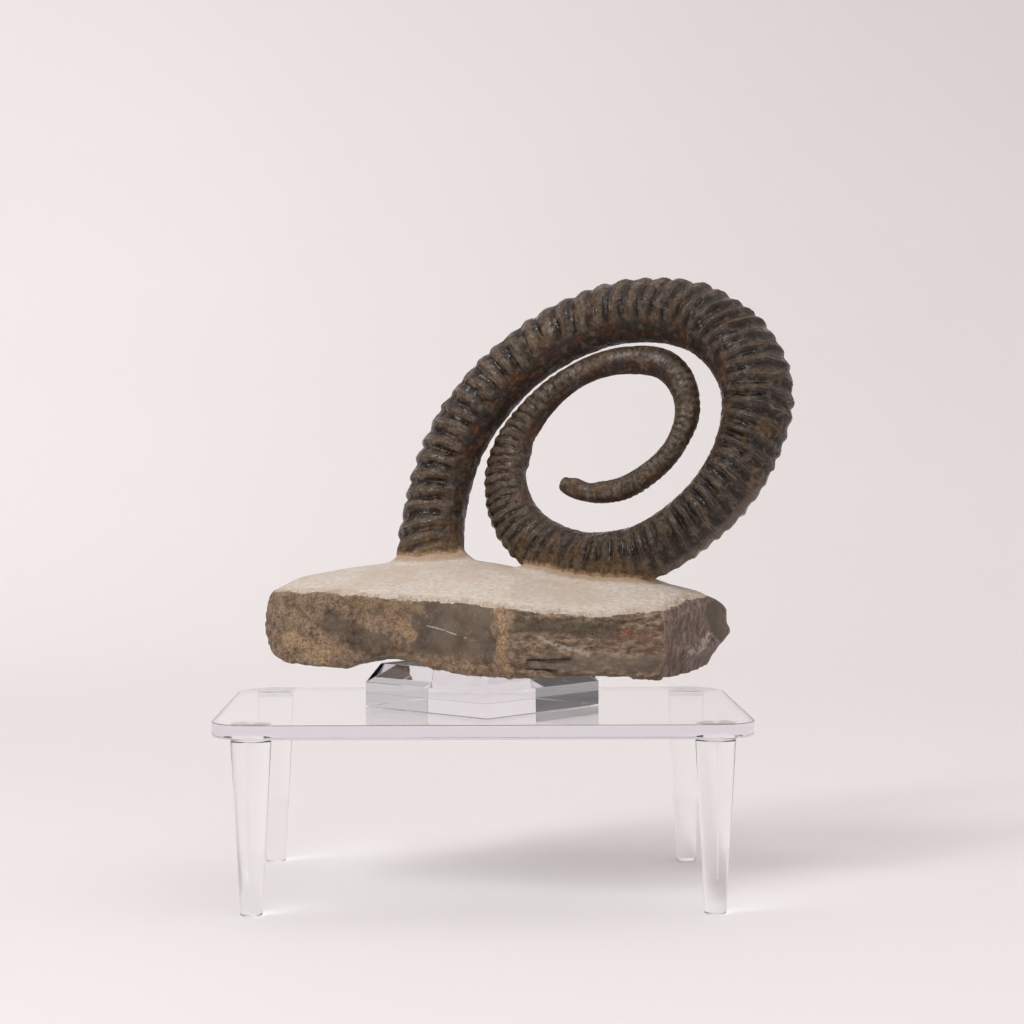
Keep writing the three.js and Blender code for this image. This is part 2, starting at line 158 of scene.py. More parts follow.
class Nodes:
    """Short calls for building one material's nodes."""

    def __init__(self, name):
        self.material = bpy.data.materials.new(name)
        self.material.use_nodes = True
        self.tree = self.material.node_tree
        self.tree.nodes.clear()
        self.output = self.tree.nodes.new("ShaderNodeOutputMaterial")
        self.position = self.tree.nodes.new("ShaderNodeTexCoord").outputs["Object"]

    def add(self, kind, settings=None, **inputs):
        node = self.tree.nodes.new(kind)
        for key, value in (settings or {}).items():
            setattr(node, key, value)
        for key, value in inputs.items():
            self.put(node.inputs[key.replace("_", " ")], value)
        return node

    def put(self, socket, value):
        if isinstance(value, bpy.types.NodeSocket):
            self.tree.links.new(value, socket)
        else:
            socket.default_value = value

    def stretched(self, scale, vector=None):
        """The position, or another vector, multiplied per axis."""
        node = self.add("ShaderNodeMapping", Vector=vector or self.position)
        node.inputs["Scale"].default_value = scale
        return node.outputs["Vector"]

    def slanted(self, scale, degrees):
        """The position turned about the depth axis, then multiplied per axis."""
        settings = {"rotation_type": "Y_AXIS"}
        turned = self.add("ShaderNodeVectorRotate", settings, Vector=self.position, Angle=math.radians(degrees))
        return self.stretched(scale, turned.outputs["Vector"])

    def noise(self, size, detail=4.0, roughness=0.55, vector=None):
        """Noise whose lumps are about size metres across, from 0 to 1."""
        place = vector or self.position
        node = self.add("ShaderNodeTexNoise", Vector=place, Scale=1 / size, Detail=detail, Roughness=roughness)
        return node.outputs["Fac"]

    def ramp(self, value, *stops):
        """A colour ramp: stops are (place, colour)."""
        node = self.add("ShaderNodeValToRGB", Fac=value)
        ramp = node.color_ramp
        while len(ramp.elements) < len(stops):
            ramp.elements.new(0.5)
        for element, (place, colour) in zip(ramp.elements, stops):
            element.position = place
            element.color = (*colour, 1)
        return node.outputs["Color"]

    def tones(self, value, spread, *colours):
        """A ramp of evenly placed colours, as they show on a screen, over 0.5 - spread to 0.5 + spread."""
        step = 2 * spread / (len(colours) - 1)
        return self.ramp(value, *((0.5 - spread + step * i, rgb(*colour)) for i, colour in enumerate(colours)))

    def mix(self, factor, a, b):
        """a to b by factor: each a socket or a colour as it shows on a screen."""
        node = self.add("ShaderNodeMix", {"data_type": "RGBA", "clamp_factor": True})
        self.put(node.inputs["Factor"], factor)
        for socket, value in ((node.inputs[6], a), (node.inputs[7], b)):
            self.put(socket, value if isinstance(value, bpy.types.NodeSocket) else (*rgb(*value), 1))
        return node.outputs[2]

    def math(self, operation, a, b=None, clamp=False):
        node = self.add("ShaderNodeMath", {"operation": operation, "use_clamp": clamp})
        self.put(node.inputs[0], a)
        if b is not None:
            self.put(node.inputs[1], b)
        return node.outputs[0]

    def product(self, *values):
        result = values[0]
        for value in values[1:]:
            result = self.math("MULTIPLY", result, value)
        return result

    def around_zero(self, value, size):
        """A value from 0 to 1, moved to lie about 0, and scaled."""
        return self.product(self.math("SUBTRACT", value, 0.5), size)

    def off_middle(self, value):
        """How far a value is from 0.5."""
        return self.math("ABSOLUTE", self.math("SUBTRACT", value, 0.5))

    def span(self, value, low, high, to_low=0.0, to_high=1.0):
        """value mapped from low..high to to_low..to_high, smoothly and clamped."""
        node = self.add("ShaderNodeMapRange", {"interpolation_type": "SMOOTHSTEP", "clamp": True})
        amounts = (value, low, high, to_low, to_high)
        for key, amount in zip(("Value", "From Min", "From Max", "To Min", "To Max"), amounts):
            self.put(node.inputs[key], amount)
        return node.outputs[0]

    def front_place(self):
        """The position with its depth taken out, for marks made on the front face."""
        if not hasattr(self, "flat_place"):
            self.flat_place = self.vector("MULTIPLY", self.position, (1, 0, 1))
        return self.flat_place

    def vector(self, operation, a, b=None, scale=None):
        node = self.add("ShaderNodeVectorMath", {"operation": operation})
        self.put(node.inputs[0], a)
        if b is not None:
            self.put(node.inputs[1], b)
        if scale is not None:
            self.put(node.inputs["Scale"], scale)
        return node.outputs["Value" if operation in ("LENGTH", "DOT_PRODUCT") else "Vector"]

    def front_point(self, x, z):
        return (TABLE_CENTRE.x + x * MM, 0, z * MM)

    def away_from_line(self, *points):
        """Distance in mm from a broken line over the front face."""
        nearest = None
        for (ax, az), (bx, bz) in zip(points, points[1:]):
            course = Vector(((bx - ax) * MM, 0, (bz - az) * MM))
            offset = self.vector("SUBTRACT", self.front_place(), self.front_point(ax, az))
            share = self.vector("DOT_PRODUCT", offset, tuple(course / course.length_squared))
            share = self.math("ADD", share, 0.0, clamp=True)
            reached = self.vector("SCALE", tuple(course), scale=share)
            away = self.math("DIVIDE", self.vector("LENGTH", self.vector("SUBTRACT", offset, reached)), MM)
            nearest = away if nearest is None else self.math("MINIMUM", nearest, away)
        return nearest

    def frayed(self, away, reach, soft, size, depth):
        """1 within reach mm, 0 beyond it, its edge frayed by noise."""
        fray = self.around_zero(self.noise(size, 5.0, 0.65), depth)
        return self.span(self.math("ADD", away, fray), reach + soft, reach - soft)

    def frayed_line(self, points, *fray):
        return self.frayed(self.away_from_line(*points), *fray)

    def attribute(self, name, output="Fac"):
        node = self.add("ShaderNodeAttribute", {"attribute_name": name, "attribute_type": "GEOMETRY"})
        return node.outputs[output]

    def bump(self, height, distance, strength=1.0, normal=None):
        node = self.add("ShaderNodeBump", Height=height, Distance=distance, Strength=strength)
        if normal is not None:
            self.put(node.inputs["Normal"], normal)
        return node.outputs["Normal"]

    def surface(self, shader):
        self.tree.links.new(shader, self.output.inputs["Surface"])
        return self.material


# ---- materials


def rgb(red, green, blue):
    """A colour given as it shows on a screen, 0 to 255."""
    return tuple(((c / 255 + 0.055) / 1.055) ** 2.4 for c in (red, green, blue))


def paper_material():
    n = Nodes("seamless_paper")
    tint = n.ramp(n.noise(0.6, 2.0), (0.35, (0.82, 0.785, 0.785)), (0.65, (0.83, 0.797, 0.797)))
    shader = n.add("ShaderNodeBsdfPrincipled", Base_Color=tint, Roughness=0.9)
    return n.surface(shader.outputs[0])


def shell_material():
    """Dark stone, waxed to a low gloss, streaked along its ribs, with worn crests, and rust and painted shade on the
    inner side.
    """
    n = Nodes("waxed_shell_stone")
    product, around_zero = n.product, n.around_zero
    rib, crested, split, inner_side, shade, stout, dust, chips, turn = (
        n.attribute(name) for name in "rib crested split dorsal shade stout dust chips rib_turn".split()
    )
    along_ribs = n.attribute("rib_grain", "Vector")
    along_coil = n.stretched((0.2, 4, 4), along_ribs)
    streaks = n.noise(0.0016, 5.0, 0.7, vector=along_ribs)
    grain = n.noise(0.0021, 5.0, 0.72)
    patches = n.noise(0.016, 5.0, 0.62)

    # Thin raised lines along the crests, doubled on the right of the coil, and broken here and there.
    place_in_rib = n.math("FRACT", turn)

    def line(place, width):
        return n.span(n.math("ABSOLUTE", n.math("SUBTRACT", place_in_rib, place)), width, 0.0)

    broken = n.span(n.noise(0.007, 5.0, 0.7), 0.42, 0.56)
    crest_line = product(line(0.5, 0.09), crested, broken)
    second_line = product(line(0.7, 0.07), crested, split)

    streak_share = n.span(stout, 0.0, 1.0, 0.12, 0.5)
    mixed_grain = n.math("ADD", grain, product(n.math("SUBTRACT", streaks, grain), streak_share))
    # Crests lighter and valleys between the ribs much darker: painted shade in the valleys.
    crest = n.tones(mixed_grain, 0.12, (54, 42, 33), (82, 66, 53), (122, 101, 82))
    valley = n.tones(mixed_grain, 0.12, (20, 12, 7), (36, 23, 15), (60, 42, 29))
    height = n.math("ADD", rib, around_zero(streaks, 0.9))
    colour = n.mix(n.span(height, 0.12, 0.64), valley, crest)
    colour = n.mix(n.span(patches, 0.42, 0.58, 0.0, 0.75), colour, n.mix(0.6, colour, (32, 23, 17)))
    # Darker over the right limb, most on its outer side: painted shade.
    colour = n.mix(product(shade, 0.95), colour, n.mix(0.7, colour, (24, 16, 12)))
    ochre = n.tones(grain, 0.14, (62, 42, 24), (122, 88, 50))
    near_foot = product(dust, 0.12)
    ochre_place = n.span(n.math("ADD", n.noise(0.011, 5.0, 0.65), near_foot), 0.54, 0.66)
    colour = n.mix(product(ochre_place, n.span(rib, 0.95, 0.1, 0.25, 0.75)), colour, ochre)
    colour = n.mix(product(crest_line, 0.48), colour, n.mix(patches, (134, 118, 102), (140, 108, 72)))
    colour = n.mix(product(second_line, 0.25), colour, (128, 112, 96))
    # Near black along the inner side: partly the stone's own dark band, partly painted shade under the arches.
    colour = n.mix(n.span(inner_side, 0.15, 0.85, 0.0, 0.92), colour, n.mix(0.75, colour, (22, 14, 9)))
    rust_streaks = n.noise(0.0024, 5.0, 0.7, vector=along_coil)
    rust = n.ramp(rust_streaks, (0.4, rgb(42, 26, 16)), (0.54, rgb(78, 48, 27)), (0.66, rgb(124, 76, 38)))
    rust_amount = product(n.span(inner_side, 0.15, 0.7), n.span(n.noise(0.011, 5.0, 0.6), 0.45, 0.6), 0.7)
    colour = n.mix(rust_amount, colour, rust)
    colour = n.mix(product(chips, 0.3), colour, n.mix(grain, (84, 70, 58), (150, 134, 118)))

    # Near the matrix a brown film thickens into a narrow tan edge.
    frayed_dust = n.math("ADD", dust, around_zero(n.noise(0.0022, 5.0, 0.75), 0.26))
    film_amount = product(n.span(frayed_dust, 0.25, 0.9, 0.0, 0.75), n.span(height, 0.0, 0.6, 0.25, 1.0))
    colour = n.mix(film_amount, colour, n.tones(grain, 0.14, (74, 58, 40), (132, 108, 78)))
    tan = n.tones(grain, 0.14, (132, 105, 80), (190, 162, 131))
    colour = n.mix(n.span(frayed_dust, 0.84, 0.98), colour, tan)

    normal = n.bump(n.math("ADD", crest_line, product(second_line, 0.7)), 0.0005)
    slender = n.span(stout, 0.0, 1.0, 1.0, 0.0)
    evened = n.span(stout, 0.0, 1.0, 0.3, 1.0)
    normal = n.bump(product(n.noise(0.0026, 1.5, 0.5, vector=along_ribs), evened), 0.0008, 0.8, normal)
    normal = n.bump(product(n.noise(0.0045, 2.0, 0.5), evened), 0.0014, 0.8, normal)
    gloss = n.span(n.noise(0.011, 5.0, 0.62), 0.4, 0.58, 0.17, 0.44)
    gloss = n.math("ADD", gloss, product(slender, 0.14))
    dulled = n.math("ADD", n.span(frayed_dust, 0.3, 0.9, 0.0, 0.5), n.span(inner_side, 0.3, 0.9, 0.0, 0.3))
    roughness = n.math("ADD", gloss, dulled)
    shader = n.add("ShaderNodeBsdfPrincipled", Base_Color=colour, Roughness=roughness, Normal=normal)
    shader.inputs["Specular IOR Level"].default_value = 0.36
    return n.surface(shader.outputs[0])


def matrix_material():
    """Beige tooled top over dark broken sides, which have their own face in each part of the front."""
    n = Nodes("matrix_stone")
    product = n.product
    top, rim, contact, rough, facet, bedded, grooved, front, under = (
        n.attribute(name) for name in "top rim contact rough facet bedded grooved front under".split()
    )
    fine = n.noise(0.0013, 5.0, 0.75)
    grain = n.noise(0.0036, 6.0, 0.75)
    mottle = n.noise(0.013, 6.0, 0.68)

    # The top: pale, with fine tool marks, dirtier near the shell and along its rim.
    tooled = n.noise(0.0013, 5.0, 0.75, vector=n.stretched((0.45, 0.8, 1.0)))
    beige = n.tones(tooled, 0.14, (193, 179, 167), (209, 196, 185), (225, 214, 204))
    beige = n.mix(n.span(n.noise(0.035, 5.0, 0.65), 0.44, 0.6, 0.0, 0.45), beige, (194, 173, 151))
    flecks = n.span(n.noise(0.0026, 4.0, 0.75, vector=n.stretched((0.6, 1.0, 1.0))), 0.6, 0.7, 0.0, 0.6)
    beige = n.mix(flecks, beige, (142, 118, 94))
    tan_edge = n.mix(grain, (140, 112, 86), (198, 172, 146))
    by_shell = n.span(n.math("ADD", contact, product(grain, 0.3)), 0.6, 1.1, 0.0, 0.85)
    beige = n.mix(by_shell, beige, tan_edge)
    hatching = n.span(n.noise(0.0016, 4.0, 0.7, vector=n.stretched((1.5, 0.4, 0.4))), 0.42, 0.6, 0.2, 0.85)
    beige = n.mix(product(rim, hatching, n.span(mottle, 0.4, 0.56, 0.3, 1.0)), beige, (148, 121, 86))

    # The sides: brown stone, crusted with ochre where it is rough.
    stone = n.tones(grain, 0.14, (92, 76, 62), (131, 110, 92), (174, 149, 126))
    crust = n.tones(fine, 0.14, (100, 78, 58), (160, 131, 103), (218, 190, 158))
    veins = product(n.span(n.off_middle(n.noise(0.022, 6.0, 0.68)), 0.03, 0.0), 0.8)
    patches = product(n.span(mottle, 0.48, 0.6), 0.7)
    crust_amount = product(n.math("MAXIMUM", veins, patches), n.math("ADD", product(rough, 0.55), 0.25))
    side = n.mix(crust_amount, stone, crust)
    pits = n.span(n.noise(0.0034, 5.0, 0.75), 0.58, 0.68, 0.0, 0.65)
    side = n.mix(product(pits, rough), side, (44, 34, 26))
    bends = n.off_middle(n.noise(0.012, 4.0, 0.6))
    bends = product(n.span(bends, 0.016, 0.003), n.math("SUBTRACT", 1.0, grooved))
    bend_colour = n.mix(n.span(mottle, 0.45, 0.55), (62, 50, 40), (158, 136, 112))
    side = n.mix(product(bends, 0.5), side, bend_colour)

    smooth_stone = n.tones(mottle, 0.12, (82, 69, 58), (112, 96, 81))
    smooth_stone = n.mix(n.span(fine, 0.5, 0.72, 0.0, 0.35), smooth_stone, (140, 122, 104))
    side = n.mix(product(facet, n.span(grain, 0.72, 0.56, 0.5, 1.0)), side, smooth_stone)

    layers = n.noise(0.0026, 6.0, 0.74, vector=n.stretched((0.42, 0.6, 1.0)))
    layered = n.tones(layers, 0.12, (88, 73, 60), (130, 110, 92), (186, 160, 135))
    side = n.mix(product(bedded, 0.85), side, layered)
    ledge = n.frayed_line(((30, 141), (60, 141.5), (100, 140)), 4.5, 1.5, 0.006, 5)
    side = n.mix(product(ledge, bedded, front, 0.65), side, n.mix(grain, (104, 94, 82), (150, 136, 120)))
    red = n.ramp(grain, (0.38, rgb(80, 60, 50)), (0.52, rgb(122, 88, 74)), (0.64, rgb(168, 122, 100)))
    reddish = n.frayed_line(((70, 158), (84, 156), (95, 151)), 4.5, 4, 0.007, 14)
    side = n.mix(product(reddish, front, n.span(grain, 0.42, 0.58, 0.25, 0.7)), side, red)

    furrows = n.noise(0.0024, 5.0, 0.68, vector=n.slanted((1.0, 1.0, 0.22), -26))
    grooves = n.ramp(furrows, (0.38, rgb(92, 78, 72)), (0.5, rgb(126, 110, 103)), (0.64, rgb(162, 146, 138)))
    grooves = n.mix(n.span(mottle, 0.5, 0.62, 0.0, 0.5), grooves, (118, 92, 76))
    side = n.mix(product(grooved, 0.85), side, grooves)

    # Marks on the front face.
    def mark(base, mask, colour, strength=1.0):
        return n.mix(product(mask, front, strength), base, colour)

    broken = n.span(n.noise(0.004, 4.0, 0.7), 0.4, 0.52)
    band = n.frayed_line(((20, 163), (57, 160.5), (74, 159)), 4.0, 1.5, 0.005, 7)
    side = mark(side, band, n.ramp(fine, (0.36, rgb(66, 56, 44)), (0.6, rgb(104, 92, 75))), 0.8)
    tan = n.tones(fine, 0.14, (126, 98, 70), (170, 139, 106), (214, 184, 150))
    dark = n.mix(grain, (78, 67, 58), (104, 90, 78))
    stain = n.ramp(fine, (0.36, rgb(94, 76, 50)), (0.6, rgb(160, 136, 100)))
    for line, fray, tint, strength in (
        (((8, 171), (12, 158), (9, 148), (13, 137)), (2.1, 1.3, 0.004, 7), tan, 0.85),
        (((-88, 162), (-72, 153), (-58, 148)), (7, 3, 0.01, 12), dark, 0.7),
        (((-113, 151), (-95, 142)), (5, 2, 0.009, 13), tan, 0.85),
        (((-50, 165), (-41, 155)), (3, 1.5, 0.005, 11), tan, 0.75),
        (((-60, 147), (-30, 141), (2, 137)), (1.6, 1.6, 0.005, 9), tan, 0.4),
        (((-76, 174.5), (-50, 172.5), (-36, 170.5)), (2.2, 1.6, 0.005, 9), stain, 0.65),
    ):
        side = mark(side, n.frayed_line(line, *fray), tint, strength)
    pale = n.ramp(fine, (0.38, rgb(150, 134, 120)), (0.6, rgb(205, 195, 184)))
    streak = n.frayed_line(((36, 153.5), (44, 150.5), (58, 146.5)), 1.0, 0.8, 0.006, 9)
    side = mark(side, product(streak, broken), pale, 0.9)
    thin_streak = n.frayed_line(((53, 151.5), (73, 148.5)), 0.1, 0.5, 0.004, 4)
    side = mark(side, product(thin_streak, broken), pale, 0.6)
    edge = n.frayed_line(((101.5, 169), (102.5, 160), (102, 149)), 0.1, 0.5, 0.003, 2.6)
    side = mark(side, product(edge, broken), pale, 0.8)
    scratch = n.frayed_line(((-32, 161.4), (-23, 159.3), (-10, 154.8)), 0.25, 0.25, 0.002, 1.0)
    side = mark(side, product(scratch, n.span(n.noise(0.003, 2.0), 0.38, 0.46)), (190, 184, 180), 0.8)
    scuff = n.frayed_line(((131, 153), (127, 147), (119, 144)), 2.0, 1.0, 0.005, 8)
    side = mark(side, product(scuff, broken), pale, 0.9)
    spots = n.frayed_line(((73, 158), (82, 159)), 0.8, 1.2, 0.0045, 11)
    side = mark(side, spots, n.ramp(fine, (0.36, rgb(112, 68, 54)), (0.6, rgb(182, 120, 96))), 0.8)
    # The bedding slits are cut into the stone and also coloured near black: painted shade in the slits.
    slits = n.math("MINIMUM", n.away_from_line((25, 142.6), (48, 143.8)), n.away_from_line((24, 137.6), (40, 137.4)))
    side = mark(side, n.frayed(slits, 0.35, 0.5, 0.004, 2.2), (26, 20, 16), 0.9)
    far_right = n.frayed_line(((136, 166), (141, 156)), 7, 0.7, 0.012, 7)
    side = mark(side, far_right, n.mix(mottle, (84, 75, 66), (118, 107, 96)), 0.9)

    # Downward faces coloured pale grey: painted light where the clear block shows the underside.
    side = n.mix(product(under, 0.75), side, n.mix(grain, (112, 103, 94), (176, 166, 156)))
    edge = n.math("ADD", top, n.around_zero(fine, 1.6))
    colour = n.mix(n.span(edge, 0.35, 0.6), side, beige)
    normal = n.bump(fine, 0.0004, 0.8)
    side_height = product(grain, n.math("SUBTRACT", 1.0, product(facet, 0.75)))
    normal = n.bump(n.mix(top, side_height, product(tooled, 0.18)), 0.002, 0.9, normal)
    normal = n.bump(product(furrows, grooved), 0.0012, 0.9, normal)
    normal = n.bump(product(layers, bedded), 0.0011, 0.9, normal)
    roughness = n.span(facet, 0.0, 1.0, 0.85, 0.6)
    shader = n.add("ShaderNodeBsdfPrincipled", Base_Color=colour, Roughness=roughness, Normal=normal)
    shader.inputs["Specular IOR Level"].default_value = 0.35
    return n.surface(shader.outputs[0])


def acrylic_material():
    """Clear polished acrylic, faintly lavender in the depth, that lets the lamps through."""
    n = Nodes("clear_acrylic")
    glass = n.add("ShaderNodeBsdfPrincipled", Roughness=n.span(n.noise(0.01, 4.0), 0.4, 0.9, 0.01, 0.035))
    glass.inputs["Base Color"].default_value = (1, 1, 1, 1)
    glass.inputs["IOR"].default_value = 1.49
    glass.inputs["Transmission Weight"].default_value = 1.0
    clear = n.add("ShaderNodeBsdfTransparent")
    clear.inputs["Color"].default_value = (0.95, 0.945, 0.955, 1)
    path = n.add("ShaderNodeLightPath")
    mix = n.add("ShaderNodeMixShader")
    n.put(mix.inputs[0], path.outputs["Is Shadow Ray"])
    n.put(mix.inputs[1], glass.outputs[0])
    n.put(mix.inputs[2], clear.outputs[0])
    depth = n.add("ShaderNodeVolumeAbsorption")
    depth.inputs["Color"].default_value = (0.76, 0.74, 0.86, 1)
    depth.inputs["Density"].default_value = 2.7
    n.tree.links.new(depth.outputs[0], n.output.inputs["Volume"])
    return n.surface(mix.outputs[0])


# ---- number helpers


def smoothstep(value, low, high):
    t = np.clip((value - low) / (high - low), 0, 1)
    return t * t * (3 - 2 * t)


def between(value, low, high, width):
    return smoothstep(value, low - width, low) * (1 - smoothstep(value, high, high + width))


def lumps(points, size, octaves=3, offset=0.0):
    """Noise at each point, about -1 to 1, whose lumps are about size across."""
    shifted = points / size + offset
    return np.array([noise.fractal(Vector(p), 0.9, 2.1, octaves) for p in shifted])


def catmull_rom(values, at):
    """The curve through evenly spaced values, at fractional places from 0 to the last."""
    values = np.asarray(values, float)
    last = len(values) - 1
    i = np.clip(np.floor(at).astype(int), 0, last - 1)
    t = at - i
    p0, p1 = values[np.maximum(i - 1, 0)], values[i]
    p2, p3 = values[i + 1], values[np.minimum(i + 2, last)]
    v0, v1 = (p2 - p0) / 2, (p3 - p1) / 2
    return (2 * p1 - 2 * p2 + v0 + v1) * t**3 + (-3 * p1 + 3 * p2 - 2 * v0 - v1) * t**2 + v0 * t + p1


# ---- the shell

# The coil's plane and its course through it, as in the solid, and its ribs.
COIL_CENTRE = (74.7, 0, 271.4)
LEAN_BACK = 17.9
TURN = 21.9
COIL_START = 230
COIL_STEP = 30
# Every 30 degrees: distance from the centre and half-height of the whorl, spacing of the ribs, and their
# relief from crest to valley over its outer side, its flank and its inner flank, all in mm; then how far
# the ribs lean towards the tip, as a share of the half-height, and where in its spacing a rib is highest.
COIL_STATIONS = [
    (41.0, 4.6, 3.0, 0.0, 0.05, 0.0, 0.05, 0.5),
    (38.0, 6.2, 3.0, 0.1, 0.1, 0.05, 0.05, 0.5),
    (37.2, 7.0, 3.2, 0.35, 0.55, 0.45, 0.05, 0.5),
    (38.1, 6.7, 4.0, 0.35, 0.55, 0.45, 0.05, 0.5),
    (43.5, 6.5, 4.2, 0.35, 0.55, 0.45, 0.05, 0.5),
    (50.6, 7.7, 4.5, 0.35, 0.55, 0.45, 0.05, 0.5),
    (52.6, 9.0, 4.2, 0.1, 0.25, 0.2, 0.0, 0.5),
    (45.9, 8.5, 4.8, 0.0, 0.05, 0.1, 0.0, 0.5),
    (42.7, 7.7, 5.2, 0.1, 0.3, 0.5, 0.0, 0.5),
    (44.2, 8.1, 5.5, 0.3, 0.5, 0.7, -0.05, 0.5),
    (51.4, 9.8, 5.8, 0.7, 1.3, 1.12, -0.08, 0.58),
    (66.1, 12.0, 5.7, 1.0, 1.82, 1.0, -0.02, 0.6),
    (76.2, 15.1, 5.9, 1.2, 1.95, 1.0, 0.06, 0.58),
    (79.2, 16.7, 7.1, 1.3, 2.34, 1.38, 0.12, 0.5),
    (79.4, 17.0, 7.2, 0.9, 2.34, 2.0, 0.12, 0.44),
    (79.8, 17.5, 8.7, 1.2, 3.25, 3.25, 0.15, 0.42),
    (85.6, 19.0, 8.7, 1.5, 3.38, 3.5, 0.12, 0.4),
    (92.9, 21.2, 8.6, 1.7, 3.25, 2.75, 0.2, 0.36),
    (88.0, 20.2, 8.4, 1.7, 2.73, 1.88, 0.36, 0.36),
    (78.2, 19.4, 10.0, 1.9, 2.08, 1.0, 0.14, 0.38),
    (72.5, 18.3, 11.0, 1.8, 2.08, 1.75, 0.18, 0.5),
    (74.7, 17.8, 10.8, 1.3, 2.21, 2.88, 0.12, 0.62),
    (87.0, 18.3, 10.0, 1.6, 2.86, 3.62, 0.03, 0.64),
    (110.3, 18.9, 10.3, 2.2, 3.38, 3.25, -0.06, 0.62),
    (142.0, 21.0, 10.0, 2.4, 3.12, 2.5, -0.3, 0.6),
]
FIRST_RIB = 0.25  # where the first rib's spacing has got to at the tip
WHORL_BREADTH = 0.88
BURIED_FROM = 941  # degrees: the shell ends here, inside the matrix
FINE_UNTIL = 535  # degrees: up to here the rings have fewer points, set closer together
FINE_RING = (44, 0.6)  # points, and mm between rings
OUTER_RING = (96, 0.82)


def coil_table():
    """Degrees, centreline, length, ribs counted and the stations' values along the coil, closely sampled."""
    degrees = np.arange(COIL_START, BURIED_FROM, 0.1)
    at = (degrees - COIL_START) / COIL_STEP
    names = ("distance", "half", "spacing", "outer_relief", "relief", "inner_relief", "lean", "peak")
    table = {name: catmull_rom(column, at) for name, column in zip(names, zip(*COIL_STATIONS))}
    angle = np.radians(degrees)
    distance = table["distance"]
    centre = np.stack([distance * np.cos(angle), np.zeros_like(angle), distance * np.sin(angle)], 1)
    steps = np.linalg.norm(np.diff(centre, axis=0), axis=1)
    table["degrees"] = degrees
    table["centre"] = centre
    table["length"] = np.concatenate([[0], np.cumsum(steps)])
    table["ribs"] = FIRST_RIB + np.concatenate([[0], np.cumsum(steps / table["spacing"][1:])])
    return table


def rib_strengths(table):
    """Each rib's own strength, and how far its place is off the even spacing."""
    count = int(table["ribs"][-1]) + 12
    return 1 + random.uniform(-0.35, 0.3, count), random.uniform(-0.14, 0.14, count)


def ring_lengths(table):
    """Places of the rings along the coil: the fine ones, then the outer ones."""
    split = np.interp(FINE_UNTIL, table["degrees"], table["length"])
    fine = np.arange(0, split, FINE_RING[1])
    outer = np.arange(fine[-1] + FINE_RING[1], table["length"][-1], OUTER_RING[1])
    return fine, outer


